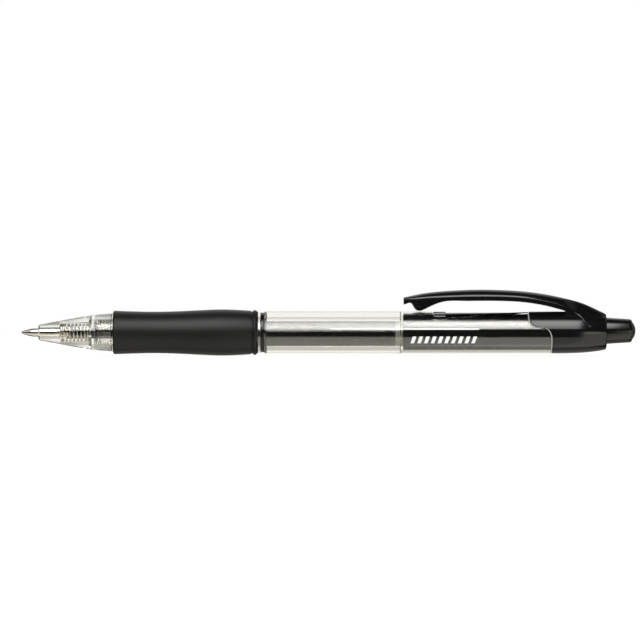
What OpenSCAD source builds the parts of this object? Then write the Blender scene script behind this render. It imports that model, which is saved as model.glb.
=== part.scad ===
// Retractable gel pen: clear barrel, rubber grip, clip cap and click mechanism.
// The pen lies along X with its point at -X and its clip up, shown with the point out.
// Lengths along the pen ("stations") are counted from the writing ball.

/* [Overall] */
// Length from the writing ball to the end of the button, point out
overall_len = 146; // [145:0.5:148]
// Length of the point that stands out of the nose
point_out = 4.04; // [3.6:0.02:4.2]
// Travel of button and refill from writing back to retracted
retract_travel = 4.6; // [4.4:0.1:4.6]
// Further travel forward while the button is held in
overtravel = 1.4; // [1:0.1:1.4]

/* [Front section] */
// Length of the clear nose in front of the grip
nose_len = 17.8; // [17.6:0.1:19]
// Diameter of the nose at its front
nose_front_d = 3.7; // [3.4:0.1:4]
// Diameter of the nose where it meets the grip
nose_rear_d = 9.24; // [9:0.04:9.4]
// Number of rings moulded round the nose next to the grip
nose_rings = 6; // [0:1:7]
// Distance from one ring to the next
ring_pitch = 0.713; // [0.6:0.01:0.75]
// Depth of the hollows between the rings
ring_depth = 0.1; // [0.06:0.02:0.14]

/* [Grip] */
// Length of the rubber grip
grip_len = 34.35; // [33.5:0.05:36]
// Diameter of the grip at its front
grip_front_d = 10.4; // [10:0.05:10.8]
// Diameter of the grip at its waist
grip_waist_d = 9.88; // [9.6:0.02:10.2]
// Diameter of the grip at its widest, where the pen rests
grip_bulge_d = 10.98; // [10.8:0.02:11.4]

/* [Barrel] */
// Outer diameter of the clear barrel
barrel_d = 10.06; // [10:0.02:10.2]
// Length of clear barrel in front of the inner sleeve
ink_window_len = 32.46; // [31:0.02:34]
// Bore of the barrel round the refill
barrel_bore_d = 7; // [6.8:0.05:7.2]

/* [Refill] */
// Outer diameter of the refill tube
refill_d = 6.12; // [6:0.02:6.14]
// Wall of the refill tube
refill_wall = 0.6; // [0.5:0.05:0.8]
// Diameter of the writing ball
ball_d = 0.7; // [0.6:0.05:0.8]
// Diameter of the metal point's shank
shank_d = 2.08; // [1.9:0.02:2.2]

/* [Spring] */
// Outer diameter of the return spring
spring_d = 4.36; // [4.2:0.02:4.4]
// Diameter of the spring wire
wire_d = 0.4; // [0.3:0.05:0.45]
// Open turns between the closed ends
open_turns = 6; // [4:1:7]

/* [Cap and clip] */
// Outer diameter of the cap at its front
cap_d = 10; // [9.96:0.02:10.06]
// Length of the cap along its top
cap_len = 18.55; // [18.5:0.05:19]
// Half the width of the clip along its middle
clip_half_w = 2.85; // [2.4:0.05:2.95]
// Height of the top of the clip above the pen's axis
clip_height = 10.2; // [10:0.05:10.6]
// Gap between the clip's ball and the barrel
clip_gap = 0.1; // [0.08:0.02:0.3]

/* [Button] */
// Diameter of the button where it leaves the cap
button_d = 6.3; // [6.1:0.02:6.36]
// Height of the button's middle above the pen's axis
button_rise = 0.4; // [0:0.05:0.45]
// Number of teeth on the plunger and on the cam rotor
cam_teeth = 8; // [8:4:12]

/* [Hidden] */
$fn = 96;
slack = 0.05;       // running clearance on a radius
lap = 0.02;         // gap between faces of fixed pieces that meet
axis_z = grip_bulge_d / 2;

// stations of the front section, grip and joint
nose_x = point_out;
seat_x = nose_x + 5.23;
spring_len = 7.49;
collar_x = seat_x + spring_len;
grip_x = nose_x + nose_len;
grip_end = grip_x + grip_len;
flange_end = grip_end + 0.72;
joint_ring_w = 0.8;
barrel_x = flange_end + joint_ring_w + 2 * lap;
neck_len = 7;
rings_end = grip_x - 0.25;
rings_x = rings_end - nose_rings * ring_pitch;
ring_steps = 6;

// stations of the barrel, sleeve and cap
step_x = barrel_x + ink_window_len;
sleeve_x = step_x + 0.5;
cap_x = step_x + 30.29;
cap_end = cap_x + cap_len;
clip_seam_x = cap_x + 8.6;
clip_x = step_x + 0.64;
pad_x = step_x + 7.7;       // latch pad on the sleeve, and the tongue behind it
pad_end = pad_x + 2.9;
tongue_end = cap_x - 0.4;

// radii
barrel_r = barrel_d / 2;
bore_r = barrel_bore_d / 2;
sleeve_r = 4.25;
sleeve_bore_r = 3.7;
refill_r = refill_d / 2;
ink_r = refill_r - refill_wall;
neck_r = 3.85;
shell_r = 4.45;
shank_r = shank_d / 2;
ball_r = ball_d / 2;
cap_r = cap_d / 2;
button_r = button_d / 2;

// stations of the refill and the click mechanism
tube_x = collar_x + 1.7;
refill_end = step_x + 19.2;
ink_end = step_x - 1.35;
follower_len = 7;
channel_r = 0.98;   // ink channel in the holder
fin_x = refill_end + 2;
fin_len = 3;
rib_x = fin_x + fin_len + 0.2;
rib_len = 12;
rib_r = 3.05;
groove_w = 1.7;
fin_w = groove_w - 0.4;
cam_r = 2.9;
spindle_r = 1.2;
stem_r = 2.08;
teeth_x = fin_x + fin_len + 2.6;
tooth_h = 0.7;
cap_floor_x = cap_end - 4.1;    // inner face that stops the button's flange
flange_w = 1.2;
flange_x = cap_floor_x - 0.2 - retract_travel - flange_w;

// winding of the spring
closed_turns = 2;
closed_pitch = wire_d * 1.04;
open_pitch = (spring_len - 2 * lap - wire_d - 2 * closed_turns * closed_pitch) / open_turns;

// a smooth curve through [x, value] points, read at x
function slope(p, i) = (p[i + 1][1] - p[i][1]) / (p[i + 1][0] - p[i][0]);
function tangent(p, i) =
    i == 0 ? slope(p, 0) :
    i == len(p) - 1 ? slope(p, i - 1) :
    (slope(p, i - 1) + slope(p, i)) / 2;
function span(p, x, i = 0) = i == len(p) - 2 || x <= p[i + 1][0] ? i : span(p, x, i + 1);
function smooth(p, x) =
    let (
        i = span(p, x),
        h = p[i + 1][0] - p[i][0],
        t = min(1, max(0, (x - p[i][0]) / h))
    )
    (2 * t ^ 3 - 3 * t ^ 2 + 1) * p[i][1]
    + (t ^ 3 - 2 * t ^ 2 + t) * h * tangent(p, i)
    + (3 * t ^ 2 - 2 * t ^ 3) * p[i + 1][1]
    + (t ^ 3 - t ^ 2) * h * tangent(p, i + 1);

// evenly spaced values, from the first one or from the next after it
function even(from, to, steps, first = 0) = [for (i = [first:steps]) from + (to - from) * i / steps];

// points along an arc and along a cubic curve with two handles
function arc(centre, r, from, to, steps = 8) = [
    for (i = [0:steps])
        let (a = from + (to - from) * i / steps)
        centre + r * [cos(a), sin(a)]
];
function cubic(a, b, c, d, steps = 12) = [
    for (i = [0:steps])
        let (t = i / steps, s = 1 - t)
        s ^ 3 * a + 3 * s ^ 2 * t * b + 3 * s * t ^ 2 * c + t ^ 3 * d
];

// puts a piece made round the X axis, with stations along X, in the pen's frame
module in_pen() {
    translate([-overall_len / 2, 0, axis_z]) children();
}

// a solid of revolution about X from [station, radius] points
module turned(profile) {
    rotate([0, 90, 0])
        rotate_extrude()
            polygon([for (p = profile) [p[1], p[0]]]);
}

// a round bar or bore between two stations
module rod(from, to, r) {
    translate([from, 0, 0]) rotate([0, 90, 0]) cylinder(h = to - from, r = r);
}

// a solid through a row of rings, each a list of the same number of points
module loft(rings) {
    n = len(rings[0]);
    m = len(rings);
    sides = [
        for (k = [0:m - 2], i = [0:n - 1])
            let (j = (i + 1) % n)
            each [
                [k * n + i, k * n + j, (k + 1) * n + j],
                [k * n + i, (k + 1) * n + j, (k + 1) * n + i]
            ]
    ];
    first = [[for (i = [n - 1:-1:0]) i]];
    last = [[for (i = [0:n - 1]) (m - 1) * n + i]];
    polyhedron([for (r = rings) each r], concat(first, sides, last));
}

// ---- refill ----

// ball that carries the ink to the paper
module writing_ball() color("silver") in_pen() {
    translate([ball_r, 0, 0]) sphere(r = ball_r, $fn = 48);
}

// turned metal point: cone, shank and ink channel, with a socket for the ball
module metal_point() color("silver") in_pen() {
    difference() {
        turned([
            [0.2, 0],
            [0.2, ball_r * 0.98],
            [0.5, ball_r + 0.1],
            [2.2, 0.92],
            [2.85, shank_r],
            [seat_x + 2.6, shank_r],
            [seat_x + 2.6, 0]
        ]);
        translate([ball_r, 0, 0]) sphere(r = ball_r + 0.02, $fn = 48);
        rod(-0.2, ball_r, ball_r * 0.955);
        rod(ball_r, seat_x + 3, 0.2);
        rod(2.6, seat_x + 3, 0.5);
    }
}

// moulded holder that joins the point to the tube and takes the spring on its collar
module tip_holder() color([0.75, 0.76, 0.74, 0.6]) in_pen() {
    front = seat_x + overtravel + 0.1;
    difference() {
        turned([
            [front, 0],
            [front, 1.3],
            [front + 0.3, 1.5],
            [collar_x, 1.5],
            [collar_x, 2.24],
            [tube_x - 0.7, 2.24],
            [tube_x - 0.1, 2.9],
            [tube_x - 0.1, 3.0],
            [tube_x, 3.0],
            [tube_x, ink_r],
            [tube_x + 4, ink_r],
            [tube_x + 4.4, ink_r - 0.3],
            [tube_x + 4.4, 0]
        ]);
        rod(seat_x, seat_x + 2.62, shank_r);
        rod(seat_x, tube_x + 5, channel_r);
    }
}

// clear tube that holds the ink
module refill_tube() color([0.85, 0.86, 0.84, 0.5]) in_pen() {
    difference() {
        rod(tube_x + lap, refill_end, refill_r);
        rod(tube_x - 1, refill_end + 1, ink_r);
    }
}

// column of gel ink
module gel_ink() color([0.03, 0.03, 0.04]) in_pen() {
    rod(tube_x + 4.42, ink_end, ink_r);
}

// grease plug that follows the ink down the tube
module ink_follower() color([0.87, 0.84, 0.74, 0.8]) in_pen() {
    rod(ink_end, ink_end + follower_len, ink_r);
}

// vented plug that closes the back of the tube
module refill_plug() color("white") in_pen() {
    difference() {
        union() {
            rod(refill_end - 4, refill_end, ink_r);
            rod(refill_end, refill_end + 0.8, refill_r - 0.1);
        }
        rod(refill_end - 5, refill_end + 2, 0.5);
    }
}

// ---- spring ----

// distance along the pen that the coil has gained after t turns
function coil_travel(t) =
    min(t, closed_turns) * closed_pitch
    + max(0, min(t - closed_turns, open_turns)) * open_pitch
    + max(0, t - closed_turns - open_turns) * closed_pitch;

// coil with closed ends, wound from the seat in the nose to the holder's collar
module return_spring() color("silver") in_pen() {
    turns = open_turns + 2 * closed_turns;
    coil_r = (spring_d - wire_d) / 2;
    steps_a_turn = 18;
    sides = 8;
    loft([
        for (i = [0:turns * steps_a_turn])
            let (
                t = i / steps_a_turn,
                a = 360 * t,
                x = seat_x + lap + wire_d / 2 + coil_travel(t)
            )
            [
                for (s = [0:sides - 1])
                    let (b = -360 * s / sides, r = coil_r + wire_d / 2 * cos(b))
                    [x + wire_d / 2 * sin(b), r * cos(a), r * sin(a)]
            ]
    ]);
}

// ---- front section and grip ----

// shallow rings round the nose, with smooth hollows between them
function ring_profile() = [
    for (i = [0:nose_rings * ring_steps - 1])
        let (
            x = rings_x + i / ring_steps * ring_pitch,
            dip = ring_depth / 2 * (1 - cos(360 * i / ring_steps))
        )
        [x, smooth(nose_line(), x) - dip]
];
function nose_line() = [
    [nose_x, nose_front_d / 2],
    [nose_x + 5.1, 2.8],
    [nose_x + 10, 3.7],
    [nose_x + 14, 4.3],
    [grip_x, nose_rear_d / 2]
];

// clear moulding: nose, carrier under the grip, flange and thread bore
module front_section() color([0.9, 0.9, 0.87, 0.35]) in_pen() {
    wide_bore_x = tube_x - 0.3 - overtravel;
    bore_cone = 1.6;
    curve_steps = 14;
    difference() {
        turned(concat(
            [[nose_x, 0], [nose_x, nose_front_d / 2 - 0.3]],
            [
                for (i = [0:curve_steps])
                    let (x = nose_x + 0.3 + (rings_x - nose_x - 0.4) * i / curve_steps)
                    [x, smooth(nose_line(), x)]
            ],
            ring_profile(),
            [
                [rings_end, smooth(nose_line(), rings_end)],
                [grip_x - lap, nose_rear_d / 2],
                [grip_x - lap, shell_r - 0.2],
                [grip_x + 20, shell_r - 0.2],
                [grip_x + 21, shell_r],
                [grip_end + lap, shell_r],
                [grip_end + lap, barrel_r - 0.16],
                [grip_end + lap + 0.08, barrel_r - 0.08],
                [flange_end - 0.08, barrel_r - 0.08],
                [flange_end, barrel_r - 0.16],
                [flange_end, 0]
            ]
        ));
        rod(nose_x - 1, seat_x + 0.1, shank_r + 0.08);
        turned([
            [seat_x, 0],
            [seat_x, spring_d / 2 + 0.16],
            [wide_bore_x - bore_cone, spring_d / 2 + 0.16],
            [wide_bore_x, refill_r + 0.14],
            [barrel_x, refill_r + 0.14],
            [barrel_x, 0]
        ]);
        rod(barrel_x - neck_len - 0.2, barrel_x, neck_r + 0.03);
    }
}

// moulded rubber sleeve with a waist, a swelling and a bead at its back
module rubber_grip() color([0.1, 0.1, 0.1]) in_pen() {
    corner = 0.4;
    groove_x = grip_end - 1.6;
    line = [
        [grip_x, grip_front_d / 2],
        [grip_x + 4.2, (grip_front_d * 0.4 + grip_waist_d * 0.6) / 2],
        [grip_x + 9.8, grip_waist_d / 2],
        [grip_x + 15.3, grip_waist_d / 2 + 0.12],
        [grip_x + 20.6, grip_bulge_d / 2 - 0.18],
        [grip_x + 25.9, grip_bulge_d / 2],
        [grip_x + 30, grip_bulge_d / 2 - 0.13],
        [groove_x, grip_bulge_d / 2 - 0.3]
    ];
    curve_steps = 36;
    difference() {
        turned(concat(
            [[grip_x, 0]],
            arc([grip_x + corner, grip_front_d / 2 - corner], corner, 180, 95, 5),
            [
                for (i = [1:curve_steps])
                    let (x = grip_x + corner + (groove_x - grip_x - corner) * i / curve_steps)
                    [x, smooth(line, x)]
            ],
            arc([groove_x + 0.12, grip_bulge_d / 2 - 0.36], 0.12, 180, 270, 3),
            arc([grip_end - 0.7, grip_bulge_d / 2 - 0.75], 0.6, 150, 40, 8),
            [[grip_end - 0.02, grip_bulge_d / 2 - 0.55], [grip_end, grip_bulge_d / 2 - 0.7], [grip_end, 0]]
        ));
        rod(grip_x - 1, grip_x + 20.5, shell_r - 0.2);
        turned([
            [grip_x + 20, 0],
            [grip_x + 20, shell_r - 0.2],
            [grip_x + 21, shell_r],
            [grip_end + 1, shell_r],
            [grip_end + 1, 0]
        ]);
    }
}

// dark ring squeezed between the front section and the barrel
module joint_ring() color([0.06, 0.06, 0.06]) in_pen() {
    ring_r = barrel_r - 0.26;
    x = flange_end + lap;
    difference() {
        turned(concat(
            [[x, 0]],
            arc([x + 0.2, ring_r - 0.2], 0.2, 180, 90, 4),
            arc([x + joint_ring_w - 0.2, ring_r - 0.2], 0.2, 90, 0, 4),
            [[x + joint_ring_w, 0]]
        ));
        rod(x - 1, x + 2, neck_r + 0.03);
    }
}

// ---- barrel, sleeve and cap ----

// side view of the line where barrel and cap meet, from the top down
function parting_line() = concat(
    [[cap_x, 12], [cap_x + 0.15, 3.6]],
    cubic([cap_x + 0.15, 3.6], [cap_x + 0.2, 1.7], [cap_x + 1.4, 1.25], [cap_x + 3.2, 1.2]),
    cubic([cap_x + 3.2, 1.2], [cap_x + 4.9, 1.15], [cap_x + 5.6, -0.1], [cap_x + 5.65, -1.9]),
    [[cap_x + 5.5, -12]]
);

// everything in front of the parting line, or behind it
module cut_side(shift, end_x) {
    rotate([90, 0, 0])
        linear_extrude(height = 24, center = true)
            polygon(concat(
                [for (p = parting_line()) [p[0] + shift, p[1]]],
                [[end_x, -12], [end_x, 12]]
            ));
}

// plan of the sleeve's sprung tongue and latch pad, or of the slot that they lie in
module tongue_plan(grow) {
    translate([0, 0, 2])
        linear_extrude(height = 5)
            for (side = [-1, 1])
                scale([1, side])
                    polygon([
                        [pad_x - grow, 0],
                        [pad_x - grow, 3.2 + grow],
                        [pad_end + grow, 3.2 + grow],
                        [pad_end + grow, 2.85 + grow],
                        [tongue_end + grow * 6, 1.2 + grow],
                        [tongue_end + grow * 6, 0]
                    ]);
}

// clear tube with a threaded neck, a step for the sleeve and a slot for its tongue
module clear_barrel() color([0.9, 0.9, 0.87, 0.35]) in_pen() {
    edge = 0.15;
    difference() {
        turned([
            [barrel_x - neck_len, 0],
            [barrel_x - neck_len, neck_r - 0.2],
            [barrel_x - neck_len + 0.2, neck_r],
            [barrel_x, neck_r],
            [barrel_x, barrel_r - edge],
            [barrel_x + edge, barrel_r],
            [cap_x + 7, barrel_r],
            [cap_x + 7, 0]
        ]);
        rod(barrel_x - neck_len - 1, barrel_x + 1, refill_r + 0.2);
        turned([
            [barrel_x + 0.2, 0],
            [barrel_x + 0.2, refill_r + 0.2],
            [barrel_x + 0.6, bore_r],
            [step_x, bore_r],
            [step_x, sleeve_r + slack],
            [cap_x + 8, sleeve_r + slack],
            [cap_x + 8, 0]
        ]);
        cut_side(-0.08, cap_x + 12);
        tongue_plan(0.12);
    }
}

// black tube in the barrel and cap: carries the tongue and the ribs that guide the cam
module inner_sleeve() color([0.05, 0.05, 0.05]) in_pen() {
    sleeve_end = cap_floor_x - slack;
    pad_r = barrel_r - 0.13;
    tongue_r = barrel_r - 0.3;
    edge = 0.1;
    difference() {
        union() {
            turned([
                [sleeve_x, 0],
                [sleeve_x, sleeve_r - edge],
                [sleeve_x + edge, sleeve_r],
                [sleeve_end, sleeve_r],
                [sleeve_end, 0]
            ]);
            intersection() {
                turned([
                    [pad_x, 0],
                    [pad_x, pad_r - edge],
                    [pad_x + edge, pad_r],
                    [pad_end - edge, pad_r],
                    [pad_end, tongue_r],
                    [tongue_end, tongue_r],
                    [tongue_end, 0]
                ]);
                tongue_plan(0);
            }
        }
        rod(sleeve_x - 1, rib_x, sleeve_bore_r);
        intersection() {
            rod(rib_x - 1, rib_x + rib_len + 1, sleeve_bore_r);
            union() {
                rod(rib_x - 2, rib_x + rib_len + 2, rib_r);
                for (k = [0:3])
                    rotate([90 * k, 0, 0])
                        translate([rib_x - 2, -groove_w / 2, 0])
                            cube([rib_len + 4, groove_w, sleeve_r]);
            }
        }
        rod(rib_x + rib_len, sleeve_end + 1, sleeve_bore_r);
    }
}

// heights above the axis and half widths of the clip and of its fairing on the cap
function top_line() = [
    [clip_x, clip_height - 1.84],
    [step_x + 5.7, clip_height - 0.82],
    [step_x + 13.5, clip_height - 0.15],
    [step_x + 20.8, clip_height],
    [step_x + 30.6, clip_height - 0.55],
    [step_x + 37.5, clip_height - 1.72],
    [step_x + 43.5, clip_height - 3.38],
    [step_x + 48.6, clip_height - 5.7]
];
function edge_line() = [
    [clip_x, clip_height - 2.25],
    [step_x + 2.3, clip_height - 2.05],
    [step_x + 9.2, clip_height - 1.62],
    [step_x + 22, clip_height - 1.4],
    [step_x + 29.4, clip_height - 1.76],
    [step_x + 34.7, clip_height - 2.62],
    [step_x + 38.7, clip_height - 3.78],
    [step_x + 41.3, clip_height - 5.25],
    [step_x + 43, clip_height - 6.7],
    [step_x + 44.2, clip_height - 8.1],
    [step_x + 46, clip_height - 9.3],
    [step_x + 48.6, clip_height - 10.1]
];
function half_width() = [
    [clip_x, clip_half_w - 1.3],
    [step_x + 2.3, clip_half_w - 0.95],
    [step_x + 9.2, clip_half_w - 0.3],
    [step_x + 22, clip_half_w],
    [step_x + 38.7, clip_half_w + 0.05],
    [step_x + 42, 3.05],
    [step_x + 43.3, 3.75],
    [step_x + 44.6, 4.45],
    [step_x + 46.3, 4.38],
    [step_x + 48.6, 4.02]
];
function under_line() = [
    [clip_x, 6.55],
    [step_x + 2.5, 6.8],
    [step_x + 2.95, 6.1],
    [step_x + 3.5, barrel_r + clip_gap + 0.25],
    [step_x + 4.6, barrel_r + clip_gap],
    [step_x + 6.0, barrel_r + clip_gap + 0.48],
    [step_x + 8.5, 6.8],
    [step_x + 10.6, 7.36],
    [step_x + 16, 7.44],
    [step_x + 23.5, 7.44],
    [step_x + 29, 7.15],
    [step_x + 34, 6.38],
    [step_x + 38.9, 5.12]
];
// how far the underside curves up from its middle to its edges, most at the clip's ball
function belly(x) = 0.06 + 0.69 * exp(-((x - step_x - 4.7) / 1.9) ^ 2);

// one ring of the loft: crowned top, crisp edge, upright sides and underside
function clip_ring(x, inset = 0) =
    let (
        w = smooth(half_width(), x) - inset,
        crown_w = w - 0.07,
        top = smooth(top_line(), x) - inset,
        edge = min(smooth(edge_line(), x), top - 0.3),
        drop = top - edge,
        r = (crown_w ^ 2 + drop ^ 2) / (2 * drop),
        a = drop > crown_w ? 180 - asin(crown_w / r) : asin(crown_w / r),
        low = smooth(under_line(), x) + inset,
        curl = belly(x),
        bevel = 0.12,
        round = 0.18,
        foot_w = w - round
    )
    concat(
        [for (i = [0:12]) let (b = a - 2 * a * i / 12) [x, -r * sin(b), top - r + r * cos(b)]],
        [[x, w, edge - bevel], [x, w, low + curl + round], [x, foot_w, low + curl]],
        [
            for (i = [1:5])
                let (s = 1 - i / 3)
                [x, foot_w * s, low + curl * s ^ 2]
        ],
        [[x, -foot_w, low + curl], [x, -w, low + curl + round], [x, -w, edge - bevel]]
    );

// sprung clip with the ball that presses on the barrel
module pocket_clip() color([0.06, 0.06, 0.06]) in_pen() {
    front_bevel = 0.15;
    ball_from = step_x + 2.2;
    ball_to = ball_from + 3.04;
    arm_from = ball_to + 5.6;
    back = clip_seam_x - 0.06;
    loft(concat(
        [clip_ring(clip_x, front_bevel)],
        [for (x = even(clip_x + front_bevel, ball_from, 4)) clip_ring(x)],
        [for (x = even(ball_from, ball_to, 16, 1)) clip_ring(x)],
        [for (x = even(ball_to, arm_from, 10, 1)) clip_ring(x)],
        [for (x = even(arm_from, back, 20, 1)) clip_ring(x)]
    ));
}

// radius of the cap below its fairing
function cap_line() = [
    [cap_x, cap_r],
    [cap_x + 9, cap_r - 0.02],
    [cap_x + 13, cap_r - 0.17],
    [cap_x + 16, cap_r - 0.48],
    [cap_end, cap_r - 0.9]
];

// one ring of the cap: a circle, with the clip's crown standing on it behind the seam
function cap_ring(x, crowned, inset = 0) =
    let (
        r = smooth(cap_line(), x) - inset,
        w = smooth(half_width(), x) - inset,
        top = smooth(top_line(), x) - inset,
        edge = smooth(edge_line(), x) - inset,
        drop = top - edge,
        crown_r = (w ^ 2 + drop ^ 2) / (2 * drop),
        crown_z = top - crown_r,
        foot = acos(min(1, w / r)),
        corner = max(foot + 1, atan2(edge, w)),
        angles = concat(
            [for (i = [0:17]) -90 + (foot + 90) * i / 18],
            [for (i = [0:3]) foot + (corner - foot) * i / 4],
            [for (i = [0:8]) corner + (90 - corner) * i / 8]
        ),
        reach = [
            for (a = angles)
                let (
                    side = a > 89 ? 99 : w / cos(a),
                    room = crown_r ^ 2 - (crown_z * cos(a)) ^ 2,
                    crown = a > 0 && room > 0 ? crown_z * sin(a) + sqrt(room) : 0
                )
                crowned ? max(r, min(side, crown)) : r
        ],
        n = len(angles)
    )
    concat(
        [for (i = [0:n - 1]) [x, reach[i] * cos(angles[i]), reach[i] * sin(angles[i])]],
        [
            for (i = [n - 2:-1:1])
                [x, -reach[i] * cos(angles[i]), reach[i] * sin(angles[i])]
        ]
    );

// cap: shell over the sleeve, fairing behind the clip and the button's hole
module rear_cap() color([0.06, 0.06, 0.06]) in_pen() {
    corner = 0.5;
    steps = 22;
    body_end = cap_end - corner;
    difference() {
        loft(concat(
            [cap_ring(cap_x - 1, false), cap_ring(clip_seam_x, false)],
            [
                for (i = [0:steps])
                    cap_ring(clip_seam_x + 0.01 + (body_end - clip_seam_x - 0.01) * i / steps, true)
            ],
            [
                for (a = [18:18:90])
                    cap_ring(body_end + corner * sin(a), true, corner * (1 - cos(a)))
            ]
        ));
        rod(cap_x - 2, cap_floor_x, sleeve_r + slack);
        translate([0, 0, button_rise]) rod(cap_x, cap_end + 1, button_r + 0.13);
        cut_side(0, cap_x - 12);
    }
}

// ---- button and click mechanism ----

// button with a domed end, set a little towards the clip, and the flange that keeps it in the cap
module push_button() color([0.06, 0.06, 0.06]) in_pen() {
    dome_r = 3.3;
    rim = 0.75;
    side_r = button_r - 0.28;
    difference() {
        union() {
            rod(flange_x, flange_x + flange_w, sleeve_bore_r - slack);
            translate([0, 0, button_rise])
                turned(concat(
                    [
                        [flange_x + flange_w / 2, 0],
                        [flange_x + flange_w / 2, button_r + slack],
                        [cap_end, button_r - 0.01]
                    ],
                    arc([overall_len - 0.8 - rim, side_r - rim], rim, 84, 20, 6),
                    arc([overall_len - dome_r, 0], dome_r, 40, 0, 8)
                ));
        }
        rod(flange_x - 1, overall_len - 3, stem_r + 0.02);
    }
}

// wedge cutters that leave a crown of ratchet teeth, outside the radius inner_r
module tooth_cutters(base_x, depth, inner_r) {
    half = PI * cam_r / cam_teeth;
    for (k = [0:cam_teeth - 1])
        rotate([360 / cam_teeth * k, 0, 0])
            translate([base_x, 0, inner_r])
                linear_extrude(height = 3)
                    polygon([[0, -half], [0, half], [depth, half]]);
}

// toothed plunger that the button presses on the rotor
module plunger() color([0.85, 0.85, 0.85]) in_pen() {
    difference() {
        union() {
            rod(teeth_x + 0.15, flange_x - lap, cam_r);
            rod(flange_x - 1, flange_x + 8, stem_r);
            for (k = [0:3])
                rotate([90 * k, 0, 0])
                    translate([teeth_x + 2, -fin_w / 2, 2])
                        cube([4, fin_w, sleeve_bore_r - 2 - 0.1]);
        }
        rod(teeth_x, flange_x + 9, spindle_r + 0.1);
        tooth_cutters(teeth_x + 0.1, tooth_h, spindle_r - 0.1);
    }
}

// cam rotor: fins that run in the grooves, and a crown of teeth
module cam_rotor() color([0.85, 0.85, 0.85]) in_pen() {
    difference() {
        union() {
            rod(refill_end + 0.85, teeth_x - 1, cam_r - 0.3);
            rod(teeth_x - 1.2, teeth_x, cam_r);
            rod(teeth_x - 0.5, teeth_x + 4, spindle_r);
            for (k = [0:3])
                rotate([90 * k, 0, 0])
                    translate([fin_x, -fin_w / 2, 2])
                        cube([fin_len, fin_w, sleeve_bore_r - 2 - 0.15]);
        }
        rod(refill_end, teeth_x - 1, 0.6);
        tooth_cutters(teeth_x + 0.05, -tooth_h, spindle_r + 0.15);
    }
}

writing_ball();
metal_point();
tip_holder();
refill_tube();
gel_ink();
ink_follower();
refill_plug();
return_spring();
front_section();
rubber_grip();
joint_ring();
clear_barrel();
inner_sleeve();
rear_cap();
pocket_clip();
push_button();
plunger();
cam_rotor();
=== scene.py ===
import math

import bmesh
import bpy
import numpy as np
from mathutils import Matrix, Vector

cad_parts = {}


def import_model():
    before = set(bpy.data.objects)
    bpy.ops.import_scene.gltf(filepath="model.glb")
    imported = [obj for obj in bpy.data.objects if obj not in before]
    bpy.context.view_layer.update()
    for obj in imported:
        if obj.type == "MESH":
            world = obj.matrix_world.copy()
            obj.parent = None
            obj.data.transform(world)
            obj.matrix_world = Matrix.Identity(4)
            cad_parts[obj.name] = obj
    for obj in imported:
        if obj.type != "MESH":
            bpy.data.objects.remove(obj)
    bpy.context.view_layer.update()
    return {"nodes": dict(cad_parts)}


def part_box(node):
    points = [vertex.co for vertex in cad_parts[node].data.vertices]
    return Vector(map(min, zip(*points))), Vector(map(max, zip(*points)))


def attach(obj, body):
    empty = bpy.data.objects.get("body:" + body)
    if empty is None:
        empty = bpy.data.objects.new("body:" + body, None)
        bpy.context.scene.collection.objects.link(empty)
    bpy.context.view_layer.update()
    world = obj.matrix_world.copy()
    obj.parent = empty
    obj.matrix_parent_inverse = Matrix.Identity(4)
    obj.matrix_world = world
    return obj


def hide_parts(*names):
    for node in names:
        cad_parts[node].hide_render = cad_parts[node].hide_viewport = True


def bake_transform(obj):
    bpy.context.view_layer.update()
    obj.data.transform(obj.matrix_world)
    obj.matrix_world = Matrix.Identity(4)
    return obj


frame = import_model()

# ---------------------------------------------------------------- sizes, in metres

MM = 0.001
AROUND = 160                        # facets round a turned piece
SHARP = math.radians(40)            # a turn or crease of more than this stays a corner

refill_lo, refill_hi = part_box("refill_tube")
barrel_lo, barrel_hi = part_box("clear_barrel")
sleeve_lo, sleeve_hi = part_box("inner_sleeve")
spring_lo, spring_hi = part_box("return_spring")
point_lo, point_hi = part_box("metal_point")
ink_lo, ink_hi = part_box("gel_ink")
button_lo, button_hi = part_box("push_button")
holder_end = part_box("tip_holder")[1].x
follower_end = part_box("ink_follower")[1].x
cap_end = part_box("rear_cap")[1].x
ring_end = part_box("joint_ring")[1].x

AXIS_Z = (refill_lo.z + refill_hi.z) / 2
BARREL_X = ring_end + 0.02 * MM     # front of the barrel's wide part
STEP_X = sleeve_lo.x - 0.5 * MM     # step in the barrel's bore, in front of the sleeve
CAP_X = STEP_X + 30.29 * MM         # where the line between barrel and cap is measured from
SEAM_X = CAP_X + 8.6 * MM           # seam between the clip's root and the cap's fairing

BARREL_R = (barrel_hi.y - barrel_lo.y) / 2
NECK_R = 3.85 * MM
BORE_R = 3.5 * MM
SLEEVE_R = 4.25 * MM
SLEEVE_BORE_R = 3.7 * MM
SLEEVE_ROOM_R = SLEEVE_R + 0.05 * MM    # bore of barrel and cap round the sleeve
REFILL_R = (refill_hi.y - refill_lo.y) / 2
INK_R = (ink_hi.y - ink_lo.y) / 2       # bore at the tube's two ends
TUBE_BORE_R = 2.0 * MM                  # bore along the tube, smaller than at its ends
SAG = 0.3 * MM                          # how low the refill lies in the barrel
BUTTON_R = 3.15 * MM
BUTTON_RISE = 0.4 * MM


# ---------------------------------------------------------------- outlines

def hermite(t, a, leave, b, arrive):
    """The cubic curve from a to b, read at t, with the slopes leave and arrive at its ends."""
    return (a * (2 * t**3 - 3 * t**2 + 1) + leave * (t**3 - 2 * t**2 + t)
            + b * (3 * t**2 - 2 * t**3) + arrive * (t**3 - t**2))


def eased(value, low, high):
    """0 up to low, 1 from high on, and a smooth rise between."""
    t = min(1.0, max(0.0, (value - low) / (high - low)))
    return t**2 * (3 - 2 * t)


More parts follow.
